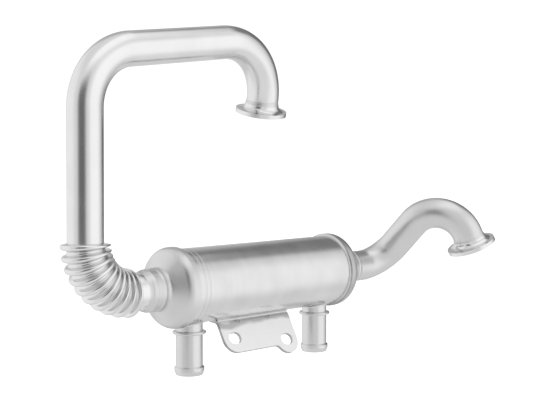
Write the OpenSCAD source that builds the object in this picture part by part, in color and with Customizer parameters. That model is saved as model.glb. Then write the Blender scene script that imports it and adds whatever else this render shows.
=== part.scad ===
// Exhaust gas cooler: a round shell with a bundle of gas tubes, a domed cap at each end,
// a flexible inlet bellows, two bent gas pipes with clamp flanges, two coolant nipples
// and a bent sheet bracket. Millimetres, +Z up, +X along the shell from inlet to outlet.

/* [Shell] */
// Outer diameter of the cooler shell
shell_od = 56; // [48:0.5:62]
// Wall of the shell
shell_wall = 1.5; // [1:0.1:2]
// Length of shell left bare between the two caps
shell_bare_len = 162; // [150:1:200]
// Length of shell hidden inside each cap
shell_lap = 2.8; // [2:0.1:3.5]

/* [Caps] */
// Wall of the pressed caps
cap_wall = 1.8; // [1.4:0.1:2.2]
// Length of the straight rim of a cap
cap_rim_len = 3; // [3:0.25:6]
// Outer radius of the shoulder that leads from the rim to the cone
cap_shoulder_r = 8; // [6:0.5:9]
// Slope of the cone face, from the cooler axis
cap_cone_angle = 60; // [50:1:70]
// Radius of the hollow between the cone and the collar
cap_fillet_r = 3; // [2:0.25:4]
// Length of the straight collar that takes the pipe
cap_collar_len = 9.5; // [7:0.5:12]
// How far a pipe or cuff stands inside its collar
collar_depth = 6.5; // [4:0.5:6.5]

/* [Core] */
// Outer diameter of one gas tube
core_tube_od = 6.4; // [5.5:0.1:7]
// Wall of one gas tube
core_tube_wall = 0.6; // [0.4:0.1:0.8]
// Distance between neighbouring gas tubes
core_pitch = 9.4; // [8.4:0.1:9.8]
// Thickness of a tube sheet
sheet_t = 2; // [1.5:0.25:3]
// Distance of a tube sheet's outer face from the rim of its cap
sheet_inset = 1; // [0.5:0.25:2]
// How far the gas tubes stand out of the tube sheets
core_tube_proud = 0.6; // [0.2:0.1:1]

/* [Coolant nipples] */
// Outer diameter of the plain stretch
nipple_od = 20; // [16:0.5:22]
// Wall of the nipple
nipple_wall = 1.5; // [1:0.1:2]
// Bare shell between the rim of a cap and the nipple beside it
nipple_gap = 3.5; // [2.5:0.5:20]
// Distance from the shell's surface to the open end
nipple_len = 37.8; // [32:0.5:50]
// Distance from the shell's surface to the middle of the stop bead
nipple_bead_drop = 6.2; // [5:0.1:9]
// Outer diameter of the stop bead
nipple_bead_od = 25; // [23.5:0.5:27]
// Outer diameter of the hose barb
nipple_barb_od = 22.2; // [21:0.1:23]
// Length of the barb, from its shoulder to the open end
nipple_barb_len = 6.8; // [6:0.2:9]
// Length of the level land at the top of the barb
nipple_barb_land = 2.4; // [1.5:0.1:3]
// How far the barb narrows from its land to the nose, on the radius
nipple_barb_taper = 0.8; // [0.2:0.1:1]
// Length of the rounded nose at the open end
nipple_nose = 0.9; // [0.5:0.1:1.2]

/* [Bracket] */
// Thickness of the bracket sheet
bracket_t = 2.5; // [2:0.25:3]
// Angle that the saddle wraps behind the lowest line of the shell
saddle_wrap = 40; // [25:1:50]
// Outer radius of the bend
bracket_bend_r = 6.5; // [5:0.25:8]
// Angle of the bend, from level
bracket_bend = 61.6; // [45:0.2:80]
// Place of the right slot along the shell, from the shell's middle
slot_x = 20.4; // [10:0.2:30]
// Distance between the two slots along the shell
slot_pitch = 52; // [44:0.5:60]
// Distance of the left slot below the bend
slot_left_drop = 11.8; // [11.6:0.2:16]
// Distance of the right slot below the bend
slot_right_drop = 19.2; // [17:0.2:24]
// Width of the bolt slots
slot_w = 9; // [7:0.25:9.5]
// Length of the bolt slots
slot_len = 12; // [10:0.25:12.5]
// Radius of the plate around a slot
lobe_r = 11.2; // [10.5:0.1:12]
// Radius of the hollow between the lower edge and the right lobe
lobe_fillet_r = 5; // [3:0.5:7]
// Width of the stiffening darts
dart_w = 8; // [6:0.5:9]
// Depth of the stiffening darts
dart_depth = 1.4; // [0.8:0.1:1.8]
// Place of the left dart from the left slot, along the shell
dart_left_in = 8; // [4:0.5:14]
// Place of the right dart from the right slot, along the shell
dart_right_in = 12.5; // [8:0.5:16]

/* [Gas pipes] */
// Outer diameter of both gas pipes
pipe_od = 25.4; // [22:0.2:26]
// Wall of both gas pipes
pipe_wall = 1.5; // [1.2:0.1:2]
// Middle-line radius of the inlet pipe's first bend
inlet_bend_1_r = 43.5; // [36:0.5:46]
// Middle-line radius of the inlet pipe's second bend
inlet_bend_2_r = 48; // [38:0.5:50]
// Straight rising leg of the inlet pipe
inlet_rise_len = 91.8; // [70:0.5:120]
// Turn of the first bend about the rising leg
inlet_roll_1 = -0.8; // [-6:0.1:6]
// Angle of the first bend
inlet_bend_1 = 82.4; // [75:0.1:95]
// Straight top run of the inlet pipe
inlet_run_len = 88.2; // [70:0.2:120]
// Turn of the second bend about the top run
inlet_roll_2 = 16.3; // [-5:0.1:30]
// Angle of the second bend
inlet_bend_2 = 92; // [80:0.5:100]
// Straight end of the inlet pipe, down to the flange face
inlet_drop_len = 10; // [9:0.2:40]
// Middle-line radius of the outlet pipe's bends
outlet_bend_r = 26.8; // [24:0.2:32]
// Straight start of the outlet pipe, past its collar
outlet_lead_len = 16; // [8:0.2:30]
// Turn of the first outlet bend, from straight up toward the front
outlet_roll_1 = 43; // [20:0.5:60]
// Angle of the first outlet bend
outlet_bend_1 = 84.8; // [70:0.2:95]
// Straight middle of the outlet pipe
outlet_run_len = 26.2; // [15:0.2:40]
// Turn of the second outlet bend about the middle run
outlet_roll_2 = 119.1; // [95:0.1:130]
// Angle of the second outlet bend
outlet_bend_2 = 122.6; // [95:0.2:125]
// Straight end of the outlet pipe, to the flange face
outlet_drop_len = 10.6; // [8.6:0.2:30]

/* [Bellows] */
// Number of convolutions
folds = 10; // [8:1:11]
// Wall of the bellows
bellows_wall = 0.8; // [0.6:0.1:1]
// Outer diameter over the crests
crest_od = 35; // [33:0.2:36]
// Outer diameter at the roots
root_od = 26; // [25.4:0.2:27]
// Outer diameter of the cuff that enters the inlet cap
cuff_od = 27; // [26:0.2:28]
// Middle-line radius of the bend
bellows_bend_r = 36.5; // [35:0.5:44]
// Angle of the bend
bellows_bend = 91.5; // [85:0.5:100]
// Turn of the bend from straight up toward the back
bellows_roll = 1.5; // [-5:0.5:5]
// Angle left plain before the first and after the last crest's middle
bellows_margin = 3; // [2.8:0.1:4]
// Share of each convolution taken by its crest
crest_share = 0.55; // [0.5:0.01:0.6]
// Rounding of the crests
crest_round_r = 1.8; // [1:0.1:2.2]
// Length of bare cuff between the collar and the bend
cuff_bare = 14.4; // [10:0.1:25]
// Length of the upper cuff inside the inlet pipe
upper_cuff_len = 7; // [4:0.5:12]

/* [Flanges] */
// Outer diameter of the clamp flanges
flange_od = 40.5; // [37:0.5:44]
// Thickness of a flange's rim
flange_rim_t = 3.2; // [2.4:0.1:4]
// Wall of the flange's hub around the pipe
flange_hub_wall = 0.5; // [0.4:0.1:1.5]
// Radius of the hollow back between hub and rim
flange_back_r = 5; // [3:0.25:5]
// Depth from the flange face to the pipe's end
flange_land = 1.5; // [1:0.1:2]

/* [Fits] */
// Gap between pieces that are brazed or welded together
braze_gap = 0.1; // [0.05:0.01:0.15]

/* [Hidden] */
$fn = 72;
CUT = 1;
BAND_H = 0.04;
BAND_W = 0.8;
BEND_LAP = 1;
CORE_TUBES = 19;
ROUND_STEPS = 3;
SILVER = [0.80, 0.80, 0.79];
BRIGHT = [0.86, 0.86, 0.85];
DULL = [0.70, 0.70, 0.69];

shell_r = shell_od / 2;
shell_bore_r = shell_r - shell_wall;
seam_x = shell_bare_len / 2;
pipe_r = pipe_od / 2;
pipe_bore_r = pipe_r - pipe_wall;
cuff_r = cuff_od / 2;
nipple_r = nipple_od / 2;
nipple_bore_r = nipple_r - nipple_wall;
nipple_x = seam_x - nipple_gap - nipple_r;
core_tube_r = core_tube_od / 2;

// Cap outline: shoulder centre, and collar start where the hollow meets the collar
cap_rim_r = shell_r + braze_gap + cap_wall;
shoulder_c = [seam_x + cap_rim_len, cap_rim_r - cap_shoulder_r];
function collar_r(pipe_radius) = pipe_radius + braze_gap + cap_wall;
function fillet_c(pipe_radius) =
    let (c_r = collar_r(pipe_radius) + cap_fillet_r)
    [shoulder_c[0] + (cap_shoulder_r + cap_fillet_r + (shoulder_c[1] - c_r) * cos(cap_cone_angle))
        / sin(cap_cone_angle), c_r];
function collar_end_x(pipe_radius) = fillet_c(pipe_radius)[0] + cap_collar_len;

// Core: a tube in the middle, a ring of six and a ring of twelve
sheet_x = seam_x - sheet_inset;
core_len = 2 * (sheet_x + core_tube_proud);
function core_place(i) =
    i == 0 ? [0, 0] :
    i < 7 ? core_pitch * [cos(60 * i), sin(60 * i)] :
    core_pitch * (i % 2 == 1 ? 2 : sqrt(3)) * [cos(30 * (i - 7)), sin(30 * (i - 7))];
function tube_name(i) = str("core_tube_", i < 9 ? "0" : "", i + 1);

// Bracket: centre of the bend, and the line where the flat plate starts
bend_axis_z = -(shell_r + braze_gap + bracket_bend_r);
plate_y = -bracket_bend_r * sin(bracket_bend);
plate_z = bend_axis_z + bracket_bend_r * cos(bracket_bend);
slot_left = [slot_x - slot_pitch, slot_left_drop];
slot_right = [slot_x, slot_right_drop];
plate_low = slot_left_drop + lobe_r;
plate_left = slot_left[0] - lobe_r;
plate_right = slot_right[0] + lobe_r;
// Middle of the right slot on the face that bolts on: the origin of the whole part
mount_at = [slot_x,
    plate_y - slot_right_drop * cos(bracket_bend) + bracket_t * sin(bracket_bend),
    plate_z - slot_right_drop * sin(bracket_bend) - bracket_t * cos(bracket_bend)];

// Bellows: where its bend starts on the cooler axis, and the angles of its crests
bellows_x = -(collar_end_x(cuff_r) + cuff_bare);
fold_step = (bellows_bend - 2 * bellows_margin) / (folds - 1);
crest_half = crest_share * fold_step / 2;
wall_angle = bellows_wall / bellows_bend_r * 180 / PI;
round_angle = crest_round_r / (bellows_bend_r + crest_od / 2) * 180 / PI;

// Routes, one step a row: straight length, turn about the pipe, bend angle, bend radius
inlet_route = [
    [inlet_rise_len, inlet_roll_1, inlet_bend_1, inlet_bend_1_r],
    [inlet_run_len, inlet_roll_2, inlet_bend_2, inlet_bend_2_r],
    [inlet_drop_len - flange_land, 0, 0, 0]];
outlet_start_x = collar_end_x(pipe_r) - collar_depth;
outlet_route = [
    [collar_depth + outlet_lead_len, outlet_roll_1, outlet_bend_1, outlet_bend_r],
    [outlet_run_len, outlet_roll_2, outlet_bend_2, outlet_bend_r],
    [outlet_drop_len - flange_land, 0, 0, 0]];

// The model is drawn about the middle of the shell and moved to the bolting point
module at_mount() { translate(-mount_at) children(); }

// Lays a shape drawn along +Z onto the cooler axis
module along_x() { rotate([0, 90, 0]) children(); }

// Frames of the two gas lines: local +Z runs along the pipe, local +X is up
module inlet_frame() { translate([bellows_x, 0, 0]) rotate([0, -90, 0]) children(); }
module outlet_frame() { translate([outlet_start_x, 0, 0]) rotate([180, -90, 0]) children(); }

// Moves to the end of a bend toward local +X
module past_bend(angle, radius) {
    translate([radius, 0, 0]) rotate([0, angle, 0]) translate([-radius, 0, 0]) children();
}

// Part of a bend toward local +X, from one angle to another
module bend_part(from, to, radius, tube_r) {
    translate([radius, 0, 0]) rotate([90, 0, 180]) rotate([0, 0, from])
        rotate_extrude(angle = to - from) translate([radius, 0]) circle(r = tube_r);
}

// Moves to the start of step k of a route
module along_route(route, k) {
    if (k == 0) children();
    else along_route(route, k - 1)
        translate([0, 0, route[k - 1][0]]) rotate([0, 0, route[k - 1][1]])
            past_bend(route[k - 1][2], route[k - 1][3]) children();
}

// Solid rod along a route, longer by over at both ends. A hair-high band lies over each
// line where a bend starts or ends, so that neighbouring stretches join as one solid.
module route_rod(route, rod_r, over = 0) {
    last = len(route) - 1;
    for (k = [0 : last]) along_route(route, k) {
        low = k == 0 ? -over : 0;
        high = route[k][0] + (k == last ? over : 0);
        translate([0, 0, low]) cylinder(r = rod_r, h = high - low);
        if (k > 0) joint_band(rod_r);
        if (k < last) translate([0, 0, route[k][0]]) {
            joint_band(rod_r);
            rotate([0, 0, route[k][1]]) bend_part(0, route[k][2], route[k][3], rod_r);
        }
    }
}

module joint_band(rod_r) { cylinder(r = rod_r + BAND_H, h = BAND_W, center = true); }

module bent_pipe(route) {
    difference() {
        route_rod(route, pipe_r);
        route_rod(route, pipe_bore_r, CUT);
    }
}

module cooler_shell() {
    half = seam_x + shell_lap;
    color(SILVER) at_mount() difference() {
        translate([-half, 0, 0]) along_x() cylinder(r = shell_r, h = 2 * half);
        translate([-half - CUT, 0, 0]) along_x() cylinder(r = shell_bore_r, h = 2 * (half + CUT));
        for (side = [-1, 1]) translate([side * nipple_x, 0, -shell_r - CUT])
            cylinder(r = nipple_r + braze_gap, h = shell_r + CUT);
    }
}

// Body of a cap, drawn inward by inset and turned about the cooler axis
module cap_body(pipe_radius, inset, over) {
    hollow = fillet_c(pipe_radius);
    away = [sin(cap_cone_angle), cos(cap_cone_angle)];
    rim = cap_rim_r - inset;
    collar = collar_r(pipe_radius) - inset;
    end_x = hollow[0] + cap_collar_len + over;
    difference() {
        union() {
            turned() polygon([
                [seam_x - over, 0], [seam_x - over, rim], [shoulder_c[0], rim],
                shoulder_c + (cap_shoulder_r - inset) * away,
                hollow - (cap_fillet_r + inset) * away,
                hollow, [hollow[0], collar], [end_x, collar], [end_x, 0]]);
            turned() intersection() {
                translate(shoulder_c) circle(r = cap_shoulder_r - inset);
                translate([shoulder_c[0], 0]) square([cap_shoulder_r, cap_rim_r]);
            }
        }
        turned() translate(hollow) circle(r = cap_fillet_r + inset);
    }
}

// Turns an outline, axial length first and radius second, about the cooler axis
module turned() { along_x() rotate_extrude() mirror([1, -1, 0]) children(); }

module cap(pipe_radius) {
    difference() {
        cap_body(pipe_radius, 0, 0);
        cap_body(pipe_radius, cap_wall, CUT);
    }
}

module inlet_cap() { color(SILVER) at_mount() mirror([1, 0, 0]) cap(cuff_r); }

module outlet_cap() { color(SILVER) at_mount() cap(pipe_r); }

// Tube sheet with its outer face at x, thickness toward the middle of the shell
module tube_sheet(side) {
    x = side > 0 ? sheet_x - sheet_t : -sheet_x;
    color(DULL) at_mount() translate([x, 0, 0]) along_x() difference() {
        cylinder(r = shell_bore_r - braze_gap, h = sheet_t);
        for (i = [0 : CORE_TUBES - 1]) translate(core_place(i)) translate([0, 0, -CUT])
            cylinder(r = core_tube_r + braze_gap, h = sheet_t + 2 * CUT);
    }
}

module inlet_tube_sheet() { tube_sheet(-1); }

module outlet_tube_sheet() { tube_sheet(1); }

module core_tube(i) {
    color(DULL) at_mount() translate([-core_len / 2, 0, 0]) along_x() translate(core_place(i)) difference() {
        cylinder(r = core_tube_r, h = core_len);
        translate([0, 0, -CUT]) cylinder(r = core_tube_r - core_tube_wall, h = core_len + 2 * CUT);
    }
}

// Hose nipple, drawn with its open end at z = 0 and the shell above
module nipple() {
    top = nipple_len + shell_r - sqrt(pow(shell_bore_r, 2) - pow(nipple_r, 2));
    bead_z = nipple_len - nipple_bead_drop;
    bead_half = (nipple_bead_od - nipple_od) / 4;
    barb_r = nipple_barb_od / 2;
    nose_r = barb_r - nipple_barb_taper;
    lip = nipple_barb_len - nipple_barb_land - (barb_r - nipple_r);
    difference() {
        union() {
            translate([0, 0, lip]) cylinder(r = nipple_r, h = top - lip);
            translate([0, 0, nipple_nose])
                cylinder(r1 = nose_r, r2 = barb_r, h = lip - nipple_nose);
            cylinder(r1 = nose_r - nipple_nose / 2, r2 = nose_r, h = nipple_nose);
            translate([0, 0, lip]) cylinder(r = barb_r, h = nipple_barb_land);
            translate([0, 0, lip + nipple_barb_land])
                cylinder(r1 = barb_r, r2 = nipple_r, h = barb_r - nipple_r);
            translate([0, 0, bead_z - bead_half]) cylinder(r = nipple_r + bead_half, h = 2 * bead_half);
            translate([0, 0, bead_z]) rotate_extrude()
                translate([nipple_r + bead_half, 0]) circle(r = bead_half);
        }
        translate([0, 0, -CUT]) cylinder(r = nipple_bore_r, h = top + 2 * CUT);
    }
}

module nipple_at(side) {
    color(BRIGHT) at_mount() translate([side * nipple_x, 0, -shell_r - nipple_len]) nipple();
}

module coolant_inlet_nipple() { nipple_at(1); }

module coolant_outlet_nipple() { nipple_at(-1); }

// Flat plate of the bracket: shell direction first, distance below the bend second
module plate_outline() {
    lobe_gap_x = sqrt(pow(lobe_r + lobe_fillet_r, 2) - pow(plate_low + lobe_fillet_r - slot_right[1], 2));
    hollow = [slot_right[0] - lobe_gap_x, plate_low + lobe_fillet_r];
    difference() {
        union() {
            translate([plate_left, 0]) square([plate_right - plate_left, slot_left[1]]);
            translate([slot_left[0], 0]) square([slot_pitch, plate_low]);
            translate([slot_right[0], 0]) square([lobe_r, slot_right[1]]);
            translate(slot_left) circle(r = lobe_r);
            translate(slot_right) circle(r = lobe_r);
            polygon([[hollow[0], plate_low], hollow, slot_right, [slot_right[0], plate_low]]);
        }
        translate(hollow) circle(r = lobe_fillet_r);
    }
}

// Bolt slot through the plate, long along the shell
module bolt_slot(middle) {
    half = (slot_len - slot_w) / 2;
    depth = bracket_t + 2 * CUT;
    translate([middle[0], middle[1], -bracket_t / 2]) {
        cube([2 * half, slot_w, depth], center = true);
        for (side = [-1, 1]) translate([side * half, 0, 0])
            cylinder(d = slot_w, h = depth, center = true);
    }
}

// Lays a shape drawn on the plate's front face, depth downward, onto the bent plate
module on_plate() {
    translate([0, plate_y, plate_z]) rotate([bracket_bend, 0, 0]) mirror([0, 1, 0]) children();
}

// Section of the saddle, across the shell
module saddle_section() {
    inner = shell_r + braze_gap;
    reach = 2 * inner;
    intersection() {
        difference() {
            circle(r = inner + bracket_t);
            circle(r = inner);
        }
        polygon([[0, 0], [0, -reach], [reach * tan(saddle_wrap), -reach]]);
    }
}

// Section of the bend. It is a hair thinner than the sheet and laps into the saddle and the
// plate at its ends, so that the three stretches join as one solid.
module bend_section() {
    reach = 2 * shell_r;
    translate([0, bend_axis_z]) intersection() {
        difference() {
            circle(r = bracket_bend_r - BAND_H);
            circle(r = bracket_bend_r - bracket_t + BAND_H);
        }
        polygon([[0, 0], reach * [sin(BEND_LAP), cos(BEND_LAP)],
            reach * [-tan(bracket_bend / 2), 1],
            reach * [-sin(bracket_bend + BEND_LAP), cos(bracket_bend + BEND_LAP)]]);
    }
}

// Rod across the bend, its near side a given distance out from the bend's axis
module dart_rod(x, out) {
    translate([x, 0, bend_axis_z]) rotate([bracket_bend / 2, 0, 0])
        translate([0, 0, out + dart_w / 2]) rotate([90, 0, 0])
            cylinder(d = dart_w, h = 4 * bracket_bend_r, center = true);
}

module mounting_bracket() {
    darts = [slot_left[0] + dart_left_in, slot_right[0] - dart_right_in];
    color(BRIGHT) at_mount() difference() {
        union() {
            translate([plate_left, 0, 0]) rotate([90, 0, 90]) {
                linear_extrude(plate_right - plate_left) saddle_section();
                linear_extrude(plate_right - plate_left) bend_section();
            }
            on_plate() translate([0, 0, -bracket_t]) linear_extrude(bracket_t) plate_outline();
            for (x = darts) intersection() {
                dart_rod(x, bracket_bend_r - bracket_t - dart_depth);
                translate([plate_left, 0, bend_axis_z]) along_x()
                    cylinder(r = bracket_bend_r - bracket_t / 2, h = plate_right - plate_left);
            }
        }
        for (x = darts) dart_rod(x, bracket_bend_r - dart_depth);
        on_plate() bolt_slot(slot_left);
        on_plate() bolt_slot(slot_right);
    }
}

// Crests of the bellows as fan-shaped parts of the bend, so that each one is wide on the
// outside of the bend and pressed together on the inside. Rounded in steps.
module crests() {
    for (f = [0 : folds - 1], s = [0.5 : ROUND_STEPS - 0.5]) {
        lean = 90 * s / ROUND_STEPS;
        fan(f, crest_half - round_angle * (1 - sin(lean)), crest_od / 2 - crest_round_r * (1 - cos(lean)));
    }
}

// The space inside the crests
module crest_hollows() {
    for (f = [0 : folds - 1]) fan(f, crest_half - wall_angle, crest_od / 2 - bellows_wall);
}

// One fan: fold number, half its angle and its radius about the bellows' middle line
module fan(f, half, fan_r) {
    middle = bellows_margin + f * fold_step;
    bend_part(middle - half, middle + half, bellows_bend_r, fan_r);
}

module inlet_bellows() {
    cuff_len = cuff_bare + collar_depth;
    upper_r = pipe_bore_r - braze_gap;
    color(SILVER) at_mount() inlet_frame() rotate([0, 0, bellows_roll]) difference() {
        union() {
            translate([0, 0, -cuff_len]) cylinder(r = cuff_r, h = cuff_len);
            bend_part(0, bellows_bend, bellows_bend_r, root_od / 2);
            crests();
            past_bend(bellows_bend, bellows_bend_r) cylinder(r = upper_r, h = upper_cuff_len);
        }
        translate([0, 0, -cuff_len - CUT])
            cylinder(r = cuff_r - bellows_wall, h = cuff_len + CUT);
        bend_part(0, bellows_bend - wall_angle, bellows_bend_r, root_od / 2 - bellows_wall);
        crest_hollows();
        past_bend(bellows_bend, bellows_bend_r) translate([0, 0, -2 * bellows_wall])
            cylinder(r = upper_r - bellows_wall, h = upper_cuff_len + 2 * bellows_wall + CUT);
    }
}

module inlet_pipe() {
    color(SILVER) at_mount() inlet_frame() rotate([0, 0, bellows_roll])
        past_bend(bellows_bend, bellows_bend_r) bent_pipe(inlet_route);
}

module outlet_pipe() { color(SILVER) at_mount() outlet_frame() bent_pipe(outlet_route); }

// Clamp flange around a pipe's end, the pipe's end at z = 0 and the face below it
module flange() {
    hub_r = pipe_r + braze_gap + flange_hub_wall;
    hub_h = flange_rim_t + flange_back_r;
    translate([0, 0, flange_land]) rotate([180, 0, 0]) rotate_extrude() difference() {
        union() {
            square([flange_od / 2, flange_rim_t]);
            square([hub_r, hub_h]);
            translate([hub_r, flange_rim_t]) difference() {
                square(flange_back_r);
                translate([flange_back_r, flange_back_r]) circle(r = flange_back_r);
            }
        }
        translate([0, -CUT]) square([pipe_bore_r, hub_h]);
        translate([0, flange_land]) square([pipe_r + braze_gap, hub_h]);
    }
}

module flange_on(route) {
    last = len(route) - 1;
    along_route(route, last) translate([0, 0, route[last][0]]) flange();
}

module inlet_flange() {
    color(BRIGHT) at_mount() inlet_frame() rotate([0, 0, bellows_roll])
        past_bend(bellows_bend, bellows_bend_r) flange_on(inlet_route);
}

module outlet_flange() { color(BRIGHT) at_mount() outlet_frame() flange_on(outlet_route); }

cooler_shell();
inlet_cap();
outlet_cap();
inlet_tube_sheet();
outlet_tube_sheet();
for (i = [0 : CORE_TUBES - 1])
    core_tube(i);
coolant_inlet_nipple();
coolant_outlet_nipple();
mounting_bracket();
inlet_bellows();
inlet_pipe();
inlet_flange();
outlet_pipe();
outlet_flange();
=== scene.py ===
"""Looks of an exhaust gas cooler in bare stainless steel.

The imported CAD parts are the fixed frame. The gas pipes, the bellows elbow, the caps and the bracket
get finer surfaces in their place, the brazed and welded seams get their beads, and every surface
gets a procedural steel. A named size is in millimetres, unless its comment says metres.
"""

import math

import bmesh
import bpy
import numpy as np
from mathutils import Matrix, Vector


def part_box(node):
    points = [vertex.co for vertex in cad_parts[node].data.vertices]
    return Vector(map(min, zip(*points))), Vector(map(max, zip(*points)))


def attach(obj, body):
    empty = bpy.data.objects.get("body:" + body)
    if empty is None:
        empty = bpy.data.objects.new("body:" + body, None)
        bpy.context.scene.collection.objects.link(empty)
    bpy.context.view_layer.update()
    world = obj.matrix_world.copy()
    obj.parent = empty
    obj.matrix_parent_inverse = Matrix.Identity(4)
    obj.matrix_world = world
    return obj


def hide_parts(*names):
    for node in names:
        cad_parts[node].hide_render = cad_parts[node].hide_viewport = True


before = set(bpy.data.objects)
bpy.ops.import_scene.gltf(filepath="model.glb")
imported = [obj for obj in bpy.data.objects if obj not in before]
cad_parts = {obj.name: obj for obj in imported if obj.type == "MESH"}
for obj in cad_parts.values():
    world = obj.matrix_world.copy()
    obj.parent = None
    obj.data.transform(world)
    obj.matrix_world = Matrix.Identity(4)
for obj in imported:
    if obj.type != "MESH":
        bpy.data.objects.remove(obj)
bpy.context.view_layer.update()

MM = 0.001
BODY = "root"

# Gas pipes: outer radius, wall, how far the outlet pipe stands in its collar, and how far both pipes
# end before the face of their flange
PIPE_R = 12.68
PIPE_WALL = 1.5
COLLAR_DEPTH = 6.5
FLANGE_LAND = 1.5
# Routes, one step a row: straight length, turn about the pipe, bend angle, bend radius
INLET_ROUTE = [(91.8, -0.8, 82.4, 43.5), (88.2, 16.3, 92.0, 48.0), (10.0, 0, 0, 0)]
OUTLET_ROUTE = [(22.5, 43.0, 84.8, 26.8), (26.2, 119.1, 122.6, 26.8), (10.6, 0, 0, 0)]
# Hub of a flange: radius, and how far it reaches back from the flange's face
HUB_R = 13.3
HUB_H = 8.2

# Bellows elbow: bend radius, bend angle, turn about the shell, angle from each end to the nearest
# crest, wall, number of folds, and radii of crests and roots
BELLOWS_BEND_R = 36.5
BELLOWS_BEND = 91.5
BELLOWS_ROLL = 1.5
BELLOWS_MARGIN = 3.0
BELLOWS_WALL = 0.8
FOLDS = 10
CREST_R = 17.43
ROOT_R = 13.0
# How far the flanks of a fold lean together: 0 is a plain wave, 1 / (4 pi) stands upright
FLANK_LEAN = 0.052
# Cuffs of the elbow: radius and bare length of the lower one, length and depth of its eased end,
# radius and length of the upper one, and the length of the step in to it
CUFF_R = 13.5
CUFF_BARE = 14.4
CUFF_EASE_LEN = 0.6
CUFF_EASE_R = 0.2
UPPER_CUFF_R = 11.1
UPPER_CUFF_LEN = 7.0
UPPER_STEP_LEN = 0.3

# Shell, nipples, and the gap that the braze fills
SHELL_R = 28.0
NIPPLE_R = 10.0
BRAZE_GAP = 0.1
# Caps: wall, and the rim, shoulder, cone and hollow before the collar, from the middle of the shell
CAP_WALL = 1.8
SEAM_X = 81.0
RIM_LEN = 3.0
SHOULDER_R = 8.0
CONE_LEAN = 30.0
HOLLOW_R = 3.0
# Rolled ring on a collar beside the cone: its place past the hollow, height and half width
RING_OUT = 2.8
RING_HIGH = 0.45
RING_W = 1.0

# Welds of the collars: length on each tube and past the collar's edge, height of the swelling,
# height, half width and places of its fine rings, as shares of the length, and how deep the edges of
# the bead lie in the steel
INLET_WELD_LEN = 6.5
OUTLET_WELD_LEN = 5.0
WELD_PAST = 1.2
WELD_SWELL = 0.18
WELD_RING = 0.09
WELD_RING_W = 0.35
WELD_RINGS_AT = (0.45, 0.1)
WELD_SUNK = 0.15
# Brazed fillets: both legs at a cap's rim, length at a flange's hub, both legs round a nipple, how
# deep they lie in the tube and in the shell, and how far their foot keeps behind their outer edge
RIM_LEG = 1.2
HUB_FILLET_LEN = 4.0
NIPPLE_LEG = 2.0
FILLET_SUNK = 0.3
SHELL_SUNK = 0.4
EDGE_BACK = 0.1
# Faint rings where the tube sheet is brazed in: distances from the inlet cap's rim, half width, height
MARKS_AT = (6.3, 10.3)
MARK_W = 0.9
MARK_HIGH = 0.06
# Braze of the bracket: how far before the shell's lowest line it meets the shell, meets the bend and
# is drawn hollow, how far its inner corners lie from the first two, forward and down, and its
# unevenness, as a share of its depth and the angle that the waves run through
BRAZE_ON_SHELL = 4.7
BRAZE_ON_BEND = 4.2
BRAZE_HOLLOW = 3.2
BRAZE_IN_SHELL = (-1.5, -0.8)
BRAZE_IN_BEND = (-0.8, 0.7)
BRAZE_GRAIN = 0.03
BRAZE_WAVES = 37.0

# Bracket: outer radius of its bend under the shell, and the break of its edges: width, steps, least
# angle between two faces, and the weight of large faces in the shading
BEND_R = 6.5
EDGE_BREAK = 0.4
EDGE_STEPS = 3
EDGE_ANGLE = 38.0
EDGE_WEIGHT = 100
# Loose triangles of the bracket that count as one face: distance of their points, in metres, and angle
MERGE_WITHIN = 2e-6
MERGE_ANGLE = 0.4
# Sheared faces: the part of a normal that tells cut faces from rolled ones, and their level of tone
CUT_LOOK = 0.6
CUT_LEVEL = 0.55
# Painted shade on the bracket, a darker wavy band on the bend where it lies in shade under the shell:
# its lower and upper edge below the top of the bend, its level of tone, and in metres how far its
# edges waver and their softness
PAINTED_SHADE_LOW = 5.8
PAINTED_SHADE_HIGH = 1.2
PAINTED_SHADE_LEVEL = 0.60
PAINTED_SHADE_WAVE = 0.012
PAINTED_SHADE_SOFT = 0.0014

# Pattern of the steel: size of the clouds and depth of the marks, in metres, how much coarser the
# broad marks are along and across the piece, their share of the marks, the share of the clouds in
# tone and in roughness, the part of the noise that is used, and the swing of the roughness
CLOUD_SIZE = 0.022
MARK_DEPTH = 0.00005
BROAD_SPACING = 6
BROAD_REACH = 2
BROAD_SHARE = 0.6
CLOUD_IN_TONE = 0.7
CLOUD_IN_ROUGHNESS = 0.8
NOISE_PART = (0.3, 0.7)
ROUGHNESS_SWING = (0.92, 1.1)

# Camera fitted to the photo: width of the frame and focal length in pixels, sensor, direction in
# degrees, and in metres its distance, its aim from the middle of the shell, and its near and far limit
FRAME_WIDTH_PX = 550
FOCAL_PX = 1151.611
SENSOR_MM = 36.0
VIEW_AZIMUTH = -44.943
VIEW_ELEVATION = 3.381
VIEW_DISTANCE = 0.90896
VIEW_FROM_SHELL = (0.022068, 0.0, 0.055584)
VIEW_CLIP = (0.01, 100)

# Floor: its height and the radii of its rings, in metres, its tone, roughness and own glow
FLOOR_Z = -0.12
FLOOR_RINGS = (0.001, 1.0, 4.0, 14.0)
FLOOR_TONE = 0.9
FLOOR_ROUGHNESS = 0.9
FLOOR_GLOW = 0.5

# Fineness of the meshes: points around a tube and around a bead, length and angle of a step along a
# route, steps along a fold, and points along a cap's shoulder, hollow and collar, a weld, a faint
# ring, a fillet and the bracket's braze
AROUND = 96
AROUND_BEAD = 144
STEP_MM = 2.0
STEP_DEG = 1.5
STEPS_PER_FOLD = 28
SHOULDER_POINTS = 25
HOLLOW_POINTS = 17
COLLAR_POINTS = 41
WELD_POINTS = 41
MARK_POINTS = 15
FILLET_POINTS = 9
BRAZE_POINTS = 61


# Meshes

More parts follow.
